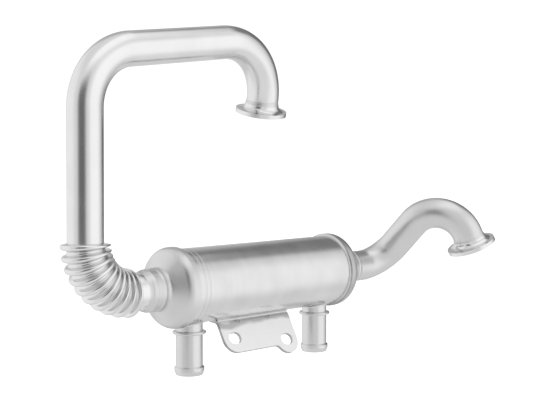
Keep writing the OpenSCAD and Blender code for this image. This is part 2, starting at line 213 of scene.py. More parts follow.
def grid_mesh(name, points, wrap_rows=False, brush=None, sharp_deg=35.0, end_faces=False):
    """Mesh over a grid of points, rows by columns: one four-sided face a cell, with the columns
    closed into rings and, where wrap_rows says so, the last row joined to the first. end_faces
    closes the first and last ring with a face each. brush is a vector at each point, in metres:
    length along the piece first, then two places across it."""
    rows, cols = points.shape[:2]
    row = np.arange(rows if wrap_rows else rows - 1)[:, None]
    col = np.arange(cols)[None, :]
    row_next, col_next = (row + 1) % rows, (col + 1) % cols
    corners = [row * cols + col, row * cols + col_next,
               row_next * cols + col_next, row_next * cols + col]
    faces = np.stack(np.broadcast_arrays(*corners), axis=-1).reshape(-1, 4).tolist()
    if end_faces:
        faces += [list(range(cols))[::-1], list(range((rows - 1) * cols, rows * cols))]
    mesh = bpy.data.meshes.new(name)
    mesh.from_pydata(points.reshape(-1, 3), [], faces)
    if brush is not None:
        layer = mesh.attributes.new("brush", "FLOAT_VECTOR", "POINT")
        layer.data.foreach_set("vector", brush.astype(np.float32).ravel())
    mesh.polygons.foreach_set("use_smooth", np.ones(len(mesh.polygons), bool))
    mesh.set_sharp_from_angle(angle=math.radians(sharp_deg))
    mesh.update()
    return mesh


def piece(name, mesh, material, replaced=None):
    """Puts a mesh into the scene as a piece that rides on the cooler and wears one material."""
    made = bpy.data.objects.new(name, mesh)
    bpy.context.scene.collection.objects.link(made)
    mesh.materials.clear()
    mesh.materials.append(material)
    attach(made, BODY)
    if replaced:
        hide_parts(replaced)
    return made


def turned_about(axis, vectors, angles):
    """Vectors turned about a unit axis by each of the angles, in radians: the part along the axis
    stays, the part across it swings by cosine and sine."""
    along = np.dot(vectors, axis) * axis
    across = vectors - along
    side = np.cross(axis, vectors)
    return along + np.cos(angles)[:, None] * across + np.sin(angles)[:, None] * side


def route_line(start, ahead, toward, route):
    """Middle line of a bent tube. Each step of the route runs straight ahead, turns the bending
    direction about the tube and then swings round a bend. Returns points, directions ahead, a mark
    that is carried along without twist, and the length so far, all in metres."""
    mark = toward
    points, aheads, marks, lengths = [], [], [], []
    place, run = np.array(start), 0.0
    for straight, roll, bend, radius in route:
        count = max(int(straight / STEP_MM), 2)
        along = np.linspace(0, straight * MM, count)
        points.append(place + along[:, None] * ahead)
        aheads.append(np.tile(ahead, (count, 1)))
        marks.append(np.tile(mark, (count, 1)))
        lengths.append(run + along)
        place, run = place + straight * MM * ahead, run + straight * MM
        if not bend:
            continue
        toward = turned_about(ahead, toward, np.radians([roll]))[0]
        axis = np.cross(ahead, toward)
        count = int(bend / STEP_DEG)
        angles = np.radians(np.linspace(0, bend, count + 1))[1:-1]
        centre = place + radius * MM * toward
        points.append(centre + turned_about(axis, place - centre, angles))
        aheads.append(turned_about(axis, ahead, angles))
        marks.append(turned_about(axis, mark, angles))
        lengths.append(run + angles * radius * MM)
        whole = np.radians([bend])
        place = centre + turned_about(axis, place - centre, whole)[0]
        run += whole[0] * radius * MM
        ahead, toward, mark = (turned_about(axis, v, whole)[0] for v in (ahead, toward, mark))
    return tuple(np.concatenate(part) for part in (points, aheads, marks, lengths))


def rings(points, aheads, marks, radii):
    """Circles around a line: the point plus the radius times cosine along the mark and sine across
    it, for each place on the line and each angle around."""
    angles = np.linspace(0, 2 * math.pi, AROUND, endpoint=False)[None, :, None]
    across = np.cross(aheads, marks)
    outward = np.cos(angles) * marks[:, None] + np.sin(angles) * across[:, None]
    return points[:, None] + np.asarray(radii)[:, None, None] * outward


def brush_grid(lengths, radii):
    """Length along the tube, and the place around it, at each point of its rings."""
    angles = np.linspace(0, 2 * math.pi, AROUND, endpoint=False)[None, :]
    radii = np.asarray(radii)[:, None]
    length = np.broadcast_to(np.asarray(lengths)[:, None], (len(radii), AROUND))
    return np.stack([length, radii * np.cos(angles), radii * np.sin(angles)], axis=-1)


def tube_mesh(name, line, outer, wall):
    """Hollow tube: rings of the outer radius along the line, then rings of the bore back again, so
    that the skin closes on itself at both ends."""
    points, aheads, marks, lengths = line
    both = [np.concatenate([part, part[::-1]]) for part in (points, aheads, marks, lengths)]
    radii = np.repeat([outer * MM, (outer - wall) * MM], len(points))
    skin = rings(both[0], both[1], both[2], radii)
    return grid_mesh(name, skin, wrap_rows=True, brush=brush_grid(both[3], radii))


def turned_mesh(name, profile, centre, axis):
    """Closed ring turned about an axis: each point of the profile is a distance along the axis and
    a radius, in millimetres."""
    axis = np.array(axis) / np.linalg.norm(axis)
    off_axis = (0.0, 1.0, 0.0) if abs(axis[1]) < 0.9 else (1.0, 0.0, 0.0)
    mark = np.cross(axis, off_axis)
    mark /= np.linalg.norm(mark)
    across = np.cross(axis, mark)
    angles = np.linspace(0, 2 * math.pi, AROUND_BEAD, endpoint=False)
    along, radius = np.array(profile).T * MM
    radius = np.broadcast_to(radius[:, None], (len(radius), AROUND_BEAD))
    outward = np.cos(angles)[:, None] * mark + np.sin(angles)[:, None] * across
    points = np.array(centre) + along[:, None, None] * axis + radius[..., None] * outward[None]
    brush = np.stack([np.broadcast_to(along[:, None], radius.shape),
                      radius * np.cos(angles), radius * np.sin(angles)], axis=-1)
    return grid_mesh(name, points, wrap_rows=True, brush=brush)


# Places taken from the frame

shell_low, shell_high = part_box("cooler_shell")
shell_mid = np.array((shell_low + shell_high) / 2)
inlet_collar_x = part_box("inlet_cap")[0].x
outlet_collar_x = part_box("outlet_cap")[1].x
inlet_rim_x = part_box("inlet_cap")[1].x
outlet_rim_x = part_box("outlet_cap")[0].x
UP = np.array((0.0, 0.0, 1.0))
ALONG = np.array((1.0, 0.0, 0.0))


def on_axis(x):
    """The point of the cooler's axis at a place along it."""
    return np.array((x, shell_mid[1], shell_mid[2]))


def bellows_start():
    """Where the elbow's bend starts, the way it runs there and the way it bends."""
    toward = turned_about(-ALONG, UP, np.radians([BELLOWS_ROLL]))[0]
    return on_axis(inlet_collar_x - CUFF_BARE * MM), -ALONG, toward


def bellows_end():
    """The same three at the elbow's upper end."""
    place, ahead, toward = bellows_start()
    axis = np.cross(ahead, toward)
    centre = place + BELLOWS_BEND_R * MM * toward
    whole = np.radians([BELLOWS_BEND])
    place = centre + turned_about(axis, place - centre, whole)[0]
    return place, turned_about(axis, ahead, whole)[0], turned_about(axis, toward, whole)[0]


inlet_line = route_line(*bellows_end(), INLET_ROUTE)
outlet_line = route_line(on_axis(outlet_collar_x - COLLAR_DEPTH * MM), ALONG, UP, OUTLET_ROUTE)


def shortened(line, end_mm):
    """A line with its last stretch ending earlier by a length, in millimetres."""
    points, aheads, marks, lengths = (part.copy() for part in line)
    points[-1] -= end_mm * MM * aheads[-1]
    lengths[-1] -= end_mm * MM
    return points, aheads, marks, lengths


# Steel

def wire(tree, socket, value):
    """Links a socket to another one, or sets its number."""
    if isinstance(value, bpy.types.NodeSocket):
        tree.links.new(value, socket)
    else:
        socket.default_value = value


def math_node(tree, operation, *values):
    """A number worked out from one to three others by one operation."""
    node = tree.nodes.new("ShaderNodeMath")
    node.operation = operation
    for socket, value in zip(node.inputs, values):
        wire(tree, socket, value)
    return node.outputs[0]


def blended(tree, first, second, share):
    """Two numbers mixed: the share times the first, and the rest of it times the second."""
    rest = math_node(tree, "MULTIPLY", second, 1 - share)
    return math_node(tree, "MULTIPLY_ADD", first, share, rest)


def mapped(tree, value, low, high, to_low, to_high, smooth=False):
    """A number carried from one range to another, held at its ends."""
    node = tree.nodes.new("ShaderNodeMapRange")
    node.interpolation_type = "SMOOTHSTEP" if smooth else "LINEAR"
    for socket, given in zip(node.inputs, (value, low, high, to_low, to_high)):
        wire(tree, socket, given)
    return node.outputs[0]


def window(tree, value, low, high, soft):
    """1 between low and high, falling smoothly to 0 over the softness at each side."""
    rise = mapped(tree, value, low - soft, low + soft, 0.0, 1.0, smooth=True)
    fall = mapped(tree, value, high - soft, high + soft, 1.0, 0.0, smooth=True)
    return math_node(tree, "MULTIPLY", rise, fall)


def streaks(tree, coordinates, spacing, reach, detail=2.0):
    """Grinding marks: noise that changes over a short spacing along the piece, in metres, and over
    a long reach across it."""
    stretch = tree.nodes.new("ShaderNodeVectorMath")
    stretch.operation = "MULTIPLY"
    wire(tree, stretch.inputs[0], coordinates)
    stretch.inputs[1].default_value = (1 / spacing, 1 / reach, 1 / reach)
    noise = tree.nodes.new("ShaderNodeTexNoise")
    wire(tree, noise.inputs["Vector"], stretch.outputs[0])
    noise.inputs["Scale"].default_value = 1.0
    noise.inputs["Detail"].default_value = detail
    return noise.outputs["Fac"]


def own_coordinates(tree, axis=None, centre=(0, 0, 0)):
    """Where a pattern lies on a piece: its brush attribute, or its place in the frame turned so
    that the given axis comes first."""
    if axis is None:
        node = tree.nodes.new("ShaderNodeAttribute")
        node.attribute_name = "brush"
        return node.outputs["Vector"]
    place = tree.nodes.new("ShaderNodeTexCoord")
    turn = tree.nodes.new("ShaderNodeMapping")
    turn.vector_type = "POINT"
    spin = Vector(axis).rotation_difference(Vector((1, 0, 0))).to_matrix()
    turn.inputs["Rotation"].default_value = spin.to_euler()
    turn.inputs["Location"].default_value = -(spin @ Vector(centre))
    wire(tree, turn.inputs["Vector"], place.outputs["Object"])
    return turn.outputs["Vector"]


def with_painted_shade(tree, colour, cloud, low, high, level):
    """Painted shade: a colour made darker between two heights, whose edges waver with the cloudy noise.
    """
    place = tree.nodes.new("ShaderNodeSeparateXYZ")
    wire(tree, place.inputs[0], tree.nodes.new("ShaderNodeTexCoord").outputs["Object"])
    height = math_node(tree, "MULTIPLY_ADD", cloud, PAINTED_SHADE_WAVE, place.outputs["Z"])
    share = window(tree, height, low + PAINTED_SHADE_WAVE / 2, high + PAINTED_SHADE_WAVE / 2, PAINTED_SHADE_SOFT)
    return dimmed(tree, colour, share, level)


def dimmed(tree, colour, share, level):
    """A colour scaled to a level of itself, by a share from 0 to 1."""
    darker = tree.nodes.new("ShaderNodeVectorMath")
    darker.operation = "SCALE"
    wire(tree, darker.inputs[0], colour)
    wire(tree, darker.inputs["Scale"], mapped(tree, share, 0.0, 1.0, 1.0, level))
    return darker.outputs[0]


def steel(name, shade, roughness, axis=None, centre=(0, 0, 0), spacing=0.0006, reach=0.2, bump=0.012,
          mottle=0.035, shade_band=None, cut_level=None):
    """Stainless steel with fine marks around the piece, broader bands of sheen and a cloudy
    variation of tone. shade is the reflectance, and the marks raise roughness and bump a little.
    spacing and reach are those of the fine marks, in metres. mottle is the swing of the tone. tint
    is painted shade, a darker wavy band: its lowest and highest z, in metres, and its level of tone.
    cut_level is the level on faces marked as sheared."""
    material = bpy.data.materials.new(name)
    material.use_nodes = True
    tree = material.node_tree
    shader = tree.nodes["Principled BSDF"]
    coordinates = own_coordinates(tree, axis, centre)
    fine = streaks(tree, coordinates, spacing, reach, detail=3.0)
    broad = streaks(tree, coordinates, spacing * BROAD_SPACING, reach * BROAD_REACH)
    cloud = streaks(tree, coordinates, CLOUD_SIZE, CLOUD_SIZE, detail=1.5)
    marks = blended(tree, broad, fine, BROAD_SHARE)
    ramp = tree.nodes.new("ShaderNodeValToRGB")
    ends = zip(ramp.color_ramp.elements, NOISE_PART, (1 - mottle, 1 + mottle))
    for element, position, level in ends:
        element.position = position
        element.color = (shade * level, shade * level, shade * level, 1.0)
    wire(tree, ramp.inputs["Fac"], blended(tree, cloud, marks, CLOUD_IN_TONE))
    colour = ramp.outputs["Color"]
    # Painted shade: a darker wavy band laid into the colour where the piece lies in shade
    if shade_band:
        colour = with_painted_shade(tree, colour, cloud, *shade_band)
    if cut_level:
        sheared = tree.nodes.new("ShaderNodeAttribute")
        sheared.attribute_name = "sheared"
        colour = dimmed(tree, colour, sheared.outputs["Fac"], cut_level)
    wire(tree, shader.inputs["Base Color"], colour)
    shader.inputs["Metallic"].default_value = 1.0
    uneven = blended(tree, cloud, marks, CLOUD_IN_ROUGHNESS)
    smoothest, roughest = (roughness * swing for swing in ROUGHNESS_SWING)
    wire(tree, shader.inputs["Roughness"], mapped(tree, uneven, *NOISE_PART, smoothest, roughest))
    relief = tree.nodes.new("ShaderNodeBump")
    relief.inputs["Strength"].default_value = bump
    relief.inputs["Distance"].default_value = MARK_DEPTH
    wire(tree, relief.inputs["Height"], marks)
    wire(tree, shader.inputs["Normal"], relief.outputs["Normal"])
    return material


bend_top_z = shell_mid[2] - (SHELL_R + BRAZE_GAP) * MM
# Painted shade on the bracket's bend, in the shade under the shell
bracket_painted_shade = (bend_top_z - PAINTED_SHADE_LOW * MM, bend_top_z - PAINTED_SHADE_HIGH * MM, PAINTED_SHADE_LEVEL)
shell_steel = steel("shell_steel", 0.74, 0.25, axis=ALONG, centre=shell_mid, mottle=0.07)
inlet_cap_steel = steel("inlet_cap_steel", 0.73, 0.37, spacing=0.0008, mottle=0.08)
outlet_cap_steel = steel("outlet_cap_steel", 0.57, 0.36, spacing=0.0008, mottle=0.07)
core_steel = steel("core_steel", 0.50, 0.35, axis=ALONG, centre=shell_mid)
nipple_steel = steel("nipple_steel", 0.71, 0.24, axis=UP)
bracket_steel = steel("bracket_steel", 0.88, 0.34, axis=UP, spacing=0.004, reach=0.004, bump=0.05,
                      shade_band=bracket_painted_shade, cut_level=CUT_LEVEL)
inlet_pipe_steel = steel("inlet_pipe_steel", 0.81, 0.22)
outlet_pipe_steel = steel("outlet_pipe_steel", 0.73, 0.34)
bellows_steel = steel("bellows_steel", 0.80, 0.20)
braze_steel = steel("braze_steel", 0.74, 0.38, spacing=0.0015, reach=0.003)


def flange_steel(name, line):
    """Steel of a turned flange, its rings about the pipe's end."""
    return steel(name, 0.80, 0.20, axis=line[1][-1], centre=line[0][-1], spacing=0.0005)


# The bellows elbow

def fold_profile():
    """Section of the convolutions along the elbow, as path angle and radius. Over each fold a
    running share q gives the radius, a cosine between crest and root, and the angle, q plus a
    double-frequency sine that bunches the flanks and rounds crest and root."""
    fold_step = (BELLOWS_BEND - 2 * BELLOWS_MARGIN) / (FOLDS - 1)
    q = np.linspace(-0.5, FOLDS - 0.5, FOLDS * STEPS_PER_FOLD + 1)
    share = q + FLANK_LEAN * np.sin(4 * math.pi * q)
    angle = BELLOWS_MARGIN + share * fold_step
    radius = (CREST_R + ROOT_R) / 2 + (CREST_R - ROOT_R) / 2 * np.cos(2 * math.pi * q)
    inside = (angle > 0) & (angle < BELLOWS_BEND)
    return np.radians(angle[inside]), radius[inside]


def elbow_mesh():
    """Skin of the elbow: cuff, convolutions and upper cuff outside, then the same line a wall's
    thickness further in and back again."""
    place, ahead, toward = bellows_start()
    axis = np.cross(ahead, toward)
    centre = place + BELLOWS_BEND_R * MM * toward
    angles, radii = fold_profile()
    top, top_ahead, top_toward = bellows_end()
    cuff = np.array([CUFF_BARE + COLLAR_DEPTH, CUFF_BARE / 2, CUFF_EASE_LEN, 0.0]) * MM
    upper = np.array([0.0, UPPER_STEP_LEN, UPPER_CUFF_LEN]) * MM
    points = np.concatenate([
        place - cuff[:, None] * ahead,
        centre + turned_about(axis, place - centre, angles),
        top + upper[:, None] * top_ahead])
    aheads = np.concatenate([
        np.tile(ahead, (len(cuff), 1)), turned_about(axis, ahead, angles),
        np.tile(top_ahead, (len(upper), 1))])
    marks = np.concatenate([
        np.tile(toward, (len(cuff), 1)), turned_about(axis, toward, angles),
        np.tile(top_toward, (len(upper), 1))])
    outer = np.concatenate([[CUFF_R, CUFF_R, CUFF_R, CUFF_R - CUFF_EASE_R], radii,
                            [ROOT_R, UPPER_CUFF_R, UPPER_CUFF_R]])
    lengths = np.concatenate([-cuff, angles * BELLOWS_BEND_R * MM,
                              np.radians(BELLOWS_BEND) * BELLOWS_BEND_R * MM + upper])
    inner = np.where(outer > CUFF_R, outer, np.minimum(outer, ROOT_R)) - BELLOWS_WALL
    inner[-len(upper):] = UPPER_CUFF_R - BELLOWS_WALL
    both = [np.concatenate([part, part[::-1]]) for part in (points, aheads, marks, lengths)]
    both_radii = np.concatenate([outer, inner[::-1]]) * MM
    skin = rings(both[0], both[1], both[2], both_radii)
    brush = brush_grid(both[3], both_radii)
    return grid_mesh("bellows_elbow", skin, wrap_rows=True, brush=brush, sharp_deg=60)


# The caps

def arc(centre, radius, from_deg, to_deg, count):
    """Points of a circle's arc: the centre plus the radius times cosine and sine."""
    angles = np.radians(np.linspace(from_deg, to_deg, count))
    return np.array(centre) + radius * np.stack([np.cos(angles), np.sin(angles)], axis=-1)


def cap_line(collar_r, collar_end, inset):
    """Section of one face of a cap, as distance along the shell and radius: straight rim, round
    shoulder, cone, hollow fillet and straight collar, all moved in by the inset. The cone is the
    common tangent of the two arcs, so its lean fixes the place of the hollow. Outside, the collar
    carries a low rolled ring in the form of a bell curve."""
    rim_r = SHELL_R + BRAZE_GAP + CAP_WALL
    shoulder = np.array((SEAM_X + RIM_LEN, rim_r - SHOULDER_R))
    lean = math.radians(CONE_LEAN)
    hollow_r = collar_r + HOLLOW_R
    reach = (SHOULDER_R + HOLLOW_R + (shoulder[1] - hollow_r) * math.sin(lean)) / math.cos(lean)
    hollow = np.array((shoulder[0] + reach, hollow_r))
    collar = np.linspace(hollow[0], collar_end, COLLAR_POINTS)[1:]
    ring_high = RING_HIGH if inset == 0 else 0.0
    ring = ring_high * np.exp(-((collar - hollow[0] - RING_OUT) / RING_W) ** 2)
    return np.concatenate([
        [(SEAM_X, rim_r - inset)],
        arc(shoulder, SHOULDER_R - inset, 90, CONE_LEAN, SHOULDER_POINTS),
        arc(hollow, HOLLOW_R + inset, 180 + CONE_LEAN, 270, HOLLOW_POINTS),
        np.stack([collar, collar_r - inset + ring], axis=-1)])


def cap_mesh(name, collar_r, collar_end, axis):
    """Cap turned about the shell's axis: its outer line, and back along the line one wall further in."""
    outer = cap_line(collar_r, collar_end, 0.0)
    inner = cap_line(collar_r, collar_end, CAP_WALL)
    return turned_mesh(name, np.concatenate([outer, inner[::-1]]), shell_mid, axis)


# Seams

def slope_profile(length, low_r, high_r):
    """Section of a weld from a tube up onto a wider collar: a smooth step from one radius to the
    other over the length before the edge, then a low swelling past it, with two fine rings that
    stand out by a narrow bell curve each."""
    along = np.linspace(-length, WELD_PAST, WELD_POINTS)
    share = np.clip((along + length) / length, 0, 1)
    swell = WELD_SWELL * np.sin(math.pi * (along + length) / (length + WELD_PAST))
    bells = (np.exp(-((along + at * length) / WELD_RING_W) ** 2) for at in WELD_RINGS_AT)
    ridges = sum(WELD_RING * bell for bell in bells)
    top = low_r + (high_r - low_r) * share ** 2 * (3 - 2 * share) + swell + ridges
    under = low_r - WELD_SUNK
    top[0], top[-1] = under, high_r - WELD_SUNK
    return [(WELD_PAST, under), (-length, under)] + list(zip(along, top))


def mark_profile(foot_r):
    """Section of a faint ring on a tube: a low bell curve, its ends an eighth of its height inside
    the tube, and a flat underside deeper in."""
    along = np.linspace(-MARK_W, MARK_W, MARK_POINTS)
    top = foot_r + MARK_HIGH * (1 + np.cos(math.pi * along / MARK_W)) / 2 - MARK_HIGH / 8
    under = foot_r - WELD_SUNK
    return list(zip(along, top)) + [(MARK_W, under), (-MARK_W, under)]


def fillet_profile(along, tall, foot_r):
    """Section of a brazed fillet in a corner: from the tube, a distance along, up to a height on
    the step, in a hollow quarter round."""
    share = np.linspace(0, math.pi / 2, FILLET_POINTS)
    curve_along = along * (1 - np.sin(share))
    curve_r = foot_r + tall * (1 - np.cos(share))
    under = foot_r - FILLET_SUNK
    inside = [(-FILLET_SUNK, foot_r + tall), (-FILLET_SUNK, under), (along, under)]
    return list(zip(curve_along, curve_r)) + inside


def seam(name, profile, centre, axis):
    """Puts a ring of weld or braze, turned about an axis, into the scene as a piece of its own."""
    return piece(name, turned_mesh(name, profile, centre, axis), braze_steel)


def nipple_fillet_mesh(name, x):
    """Brazed fillet where a nipple enters the shell. Around the nipple, the shell's surface lies at
    the root of its radius squared less the sideways distance squared; the fillet runs from a little
    below that line on the nipple to a little outside it on the shell, in a hollow curve."""
    angles = np.linspace(0, 2 * math.pi, AROUND_BEAD, endpoint=False)[None, :]
    share = np.linspace(0, 1, FILLET_POINTS)[:, None]
    curve_r = NIPPLE_R + NIPPLE_LEG * share ** 2
    curve_drop = np.sqrt(SHELL_R ** 2 - (curve_r * np.sin(angles)) ** 2)
    curve_drop += NIPPLE_LEG * (1 - share) ** 2
    in_nipple = NIPPLE_R - FILLET_SUNK
    inner_r = np.array([[NIPPLE_R + NIPPLE_LEG - EDGE_BACK], [in_nipple], [in_nipple]])
    inner_drop = np.sqrt(SHELL_R ** 2 - (inner_r * np.sin(angles)) ** 2)
    inner_drop += np.array([[-SHELL_SUNK], [-SHELL_SUNK], [NIPPLE_LEG]])
    radius = np.concatenate([curve_r, inner_r])
    drop = np.concatenate([curve_drop, inner_drop])
    local = np.stack([radius * np.cos(angles), radius * np.sin(angles), -drop], axis=-1) * MM
    return grid_mesh(name, local[::-1] + on_axis(x), wrap_rows=True, brush=local[::-1])


def bracket_braze_mesh(name, from_x, to_x):
    """Brazed strip in the wedge between the shell's underside and the bracket's bend, the same
    section all along but for a slight waver: a hollow curve from a place on the shell to one on the
    bend, given by their distance in front of the lowest line, and back inside the steel."""
    bend_drop = SHELL_R + BRAZE_GAP + BEND_R - math.sqrt(BEND_R ** 2 - BRAZE_ON_BEND ** 2)
    on_shell = np.array((BRAZE_ON_SHELL, math.sqrt(SHELL_R ** 2 - BRAZE_ON_SHELL ** 2)))
    on_bend = np.array((BRAZE_ON_BEND, bend_drop))
    hollow = np.array((BRAZE_HOLLOW, (on_shell[1] + on_bend[1]) / 2))
    share = np.linspace(0, 1, FILLET_POINTS)[:, None]
    curve = (1 - share) ** 2 * on_shell + 2 * share * (1 - share) * hollow + share ** 2 * on_bend
    inside = np.array([on_bend + BRAZE_IN_BEND, on_shell + BRAZE_IN_SHELL])
    section = np.concatenate([curve, inside]) * MM
    x = np.linspace(from_x, to_x, BRAZE_POINTS)[:, None]
    grain = BRAZE_GRAIN * np.sin(np.linspace(0, 1, len(x)) * BRAZE_WAVES)[:, None]
    front = np.broadcast_to(section[:, 0] * (1 + grain), (len(x), len(section)))
    points = np.stack([np.broadcast_to(x, front.shape), shell_mid[1] - front,
                       np.broadcast_to(shell_mid[2] - section[:, 1], front.shape)], axis=-1)
    return grid_mesh(name, points, brush=points - shell_mid, end_faces=True)


# Edges of the bracket

def sheet_copy(node):
    """Copy of a CAD part of bent sheet: its loose triangles merged into whole faces, smooth but for
    its sharp edges, and its sheared faces marked."""
    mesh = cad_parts[node].data.copy()
    custom = mesh.attributes.get("custom_normal")
    if custom:
        mesh.attributes.remove(custom)
    shape = bmesh.new()
    shape.from_mesh(mesh)
    bmesh.ops.remove_doubles(shape, verts=shape.verts, dist=MERGE_WITHIN)
    bmesh.ops.dissolve_limit(shape, angle_limit=math.radians(MERGE_ANGLE),
                             verts=shape.verts, edges=shape.edges)
    for edge in shape.edges:
        edge.smooth = True
    shape.to_mesh(mesh)
    shape.free()
    mesh.polygons.foreach_set("use_smooth", np.ones(len(mesh.polygons), bool))
    mesh.set_sharp_from_angle(angle=math.radians(EDGE_ANGLE))
    mark_sheared(mesh)
    return mesh


def mark_sheared(mesh):
    """Marks the faces where the sheet was cut. The sheet is bent about the shell's direction alone,
    so a face that looks along it is cut, and on the plate so is a face square to the plate, whose
    normal is that of the widest face below the bend."""
    count = len(mesh.polygons)
    normals, middles, areas = np.empty(3 * count), np.empty(3 * count), np.empty(count)
    mesh.polygons.foreach_get("normal", normals)
    mesh.polygons.foreach_get("center", middles)
    mesh.polygons.foreach_get("area", areas)
    normals, height = normals.reshape(-1, 3), middles.reshape(-1, 3)[:, 2]
    on_plate = height < bend_top_z - BEND_R * MM
    plate = normals[np.argmax(areas * on_plate)]
    cut = (np.abs(normals[:, 0]) > CUT_LOOK) | (on_plate & (np.abs(normals @ plate) < CUT_LOOK))
    layer = mesh.attributes.new("sheared", "FLOAT", "FACE")
    layer.data.foreach_set("value", cut.astype(np.float32))


def add_edge_break(made):
    """Rounds the sharp edges of a piece by a narrow bevel, and lets its large faces set the shading."""
    bevel = made.modifiers.new("edge_break", "BEVEL")
    bevel.width = EDGE_BREAK * MM
    bevel.segments = EDGE_STEPS
    bevel.limit_method = "ANGLE"
    bevel.angle_limit = math.radians(EDGE_ANGLE)
    even = made.modifiers.new("even_shading", "WEIGHTED_NORMAL")
    even.mode = "FACE_AREA"
    even.weight = EDGE_WEIGHT
    even.keep_sharp = True


# Pieces

for name, line, finish in (("inlet", inlet_line, inlet_pipe_steel),
                           ("outlet", outlet_line, outlet_pipe_steel)):
    mesh = tube_mesh(name + "_gas_pipe", shortened(line, FLANGE_LAND), PIPE_R, PIPE_WALL)
    piece(name + "_gas_pipe", mesh, finish, name + "_pipe")
piece("bellows_elbow", elbow_mesh(), bellows_steel, "inlet_bellows")
bracket = piece("bracket_sheet", sheet_copy("mounting_bracket"), bracket_steel,
                "mounting_bracket")
add_edge_break(bracket)

inlet_collar_r = CUFF_R + BRAZE_GAP + CAP_WALL
outlet_collar_r = PIPE_R + BRAZE_GAP + CAP_WALL
inlet_collar_end = (shell_mid[0] - inlet_collar_x) / MM
outlet_collar_end = (outlet_collar_x - shell_mid[0]) / MM
piece("inlet_cap_dome", cap_mesh("inlet_cap_dome", inlet_collar_r, inlet_collar_end, -ALONG),
      inlet_cap_steel, "inlet_cap")
piece("outlet_cap_dome", cap_mesh("outlet_cap_dome", outlet_collar_r, outlet_collar_end, ALONG),
      outlet_cap_steel, "outlet_cap")

seam("inlet_collar_weld", slope_profile(INLET_WELD_LEN, CUFF_R, inlet_collar_r),
     on_axis(inlet_collar_x), ALONG)
seam("outlet_collar_weld", slope_profile(OUTLET_WELD_LEN, PIPE_R, outlet_collar_r),
     on_axis(outlet_collar_x), -ALONG)
rim_fillet = fillet_profile(RIM_LEG, RIM_LEG, SHELL_R)
seam("inlet_rim_braze", rim_fillet, on_axis(inlet_rim_x), ALONG)
seam("outlet_rim_braze", rim_fillet, on_axis(outlet_rim_x), -ALONG)
hub_fillet = fillet_profile(HUB_FILLET_LEN, HUB_R - PIPE_R, PIPE_R)
for name, line in (("inlet", inlet_line), ("outlet", outlet_line)):
    hub_end = line[0][-1] - HUB_H * MM * line[1][-1]
    seam(name + "_flange_braze", hub_fillet, hub_end, -line[1][-1])
for name in ("coolant_inlet", "coolant_outlet"):
    low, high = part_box(name + "_nipple")
    mesh = nipple_fillet_mesh(name + "_braze", (low.x + high.x) / 2)
    piece(name + "_braze", mesh, braze_steel)

bracket_low, bracket_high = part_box("mounting_bracket")
strip = bracket_braze_mesh("bracket_braze", bracket_low.x + EDGE_BREAK * MM,
                           bracket_high.x - EDGE_BREAK * MM)
piece("bracket_braze", strip, braze_steel)
for number, away in enumerate(MARKS_AT, start=1):
    seam(f"inlet_sheet_mark_{number}", mark_profile(SHELL_R), on_axis(inlet_rim_x + away * MM),
         ALONG)

finishes = {
    "cooler_shell": shell_steel,
    "inlet_tube_sheet": core_steel, "outlet_tube_sheet": core_steel,
    "coolant_inlet_nipple": nipple_steel, "coolant_outlet_nipple": nipple_steel,
    "inlet_flange": flange_steel("inlet_flange_steel", inlet_line),
    "outlet_flange": flange_steel("outlet_flange_steel", outlet_line),
}
for name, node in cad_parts.items():
    finish = core_steel if name.startswith("core_tube") else finishes.get(name)
    if finish:
        for place in node.material_slots:
            place.material = finish


# Studio

def view_axes(azimuth, elevation):
    """Right, up and back of a camera at an azimuth and elevation, in degrees."""
    a, e = math.radians(azimuth), math.radians(elevation)
    right = Vector((math.cos(a), math.sin(a), 0))
    back = Vector((math.sin(a) * math.cos(e), -math.cos(a) * math.cos(e), math.sin(e)))
    return right, back.cross(right), back


def photo_camera():
    """Camera of the photo: it stands back from its aim by the distance, and its lens has the focal
    length that fits the sensor to the frame's width."""
    lens = bpy.data.cameras.new("photo_camera")
    lens.sensor_width = SENSOR_MM
    lens.lens = SENSOR_MM * FOCAL_PX / FRAME_WIDTH_PX
    lens.clip_start, lens.clip_end = VIEW_CLIP
    camera = bpy.data.objects.new("photo_camera", lens)
    bpy.context.scene.collection.objects.link(camera)
    right, up, back = view_axes(VIEW_AZIMUTH, VIEW_ELEVATION)
    turn = Matrix((right, up, back)).transposed().to_4x4()
    target = Vector(shell_mid) + Vector(VIEW_FROM_SHELL)
    camera.matrix_world = Matrix.Translation(target + VIEW_DISTANCE * back) @ turn
    bpy.context.scene.camera = camera


def pale_floor():
    """Round white floor: a fan of rings about the middle, each a circle of its own radius."""
    angles = np.linspace(0, 2 * math.pi, AROUND, endpoint=False)
    radii = np.array(FLOOR_RINGS)[:, None]
    points = np.stack([radii * np.cos(angles), radii * np.sin(angles),
                       np.full((len(radii), AROUND), FLOOR_Z)], axis=-1)
    mesh = grid_mesh("floor", points[::-1])
    floor = bpy.data.objects.new("floor", mesh)
    bpy.context.scene.collection.objects.link(floor)
    white = bpy.data.materials.new("floor_white")
    white.use_nodes = True
    shader = white.node_tree.nodes["Principled BSDF"]
    shader.inputs["Base Color"].default_value = (FLOOR_TONE, FLOOR_TONE, FLOOR_TONE, 1)
    shader.inputs["Roughness"].default_value = FLOOR_ROUGHNESS
    shader.inputs["Specular IOR Level"].default_value = 0.0
    shader.inputs["Emission Color"].default_value = (1, 1, 1, 1)
    shader.inputs["Emission Strength"].default_value = FLOOR_GLOW
    mesh.materials.append(white)
    floor.visible_glossy = False


# Brightness all round before the panels, and of the backdrop that the camera sees
BASE_LEVEL = 0.78
BACKDROP_LEVEL = 1.1
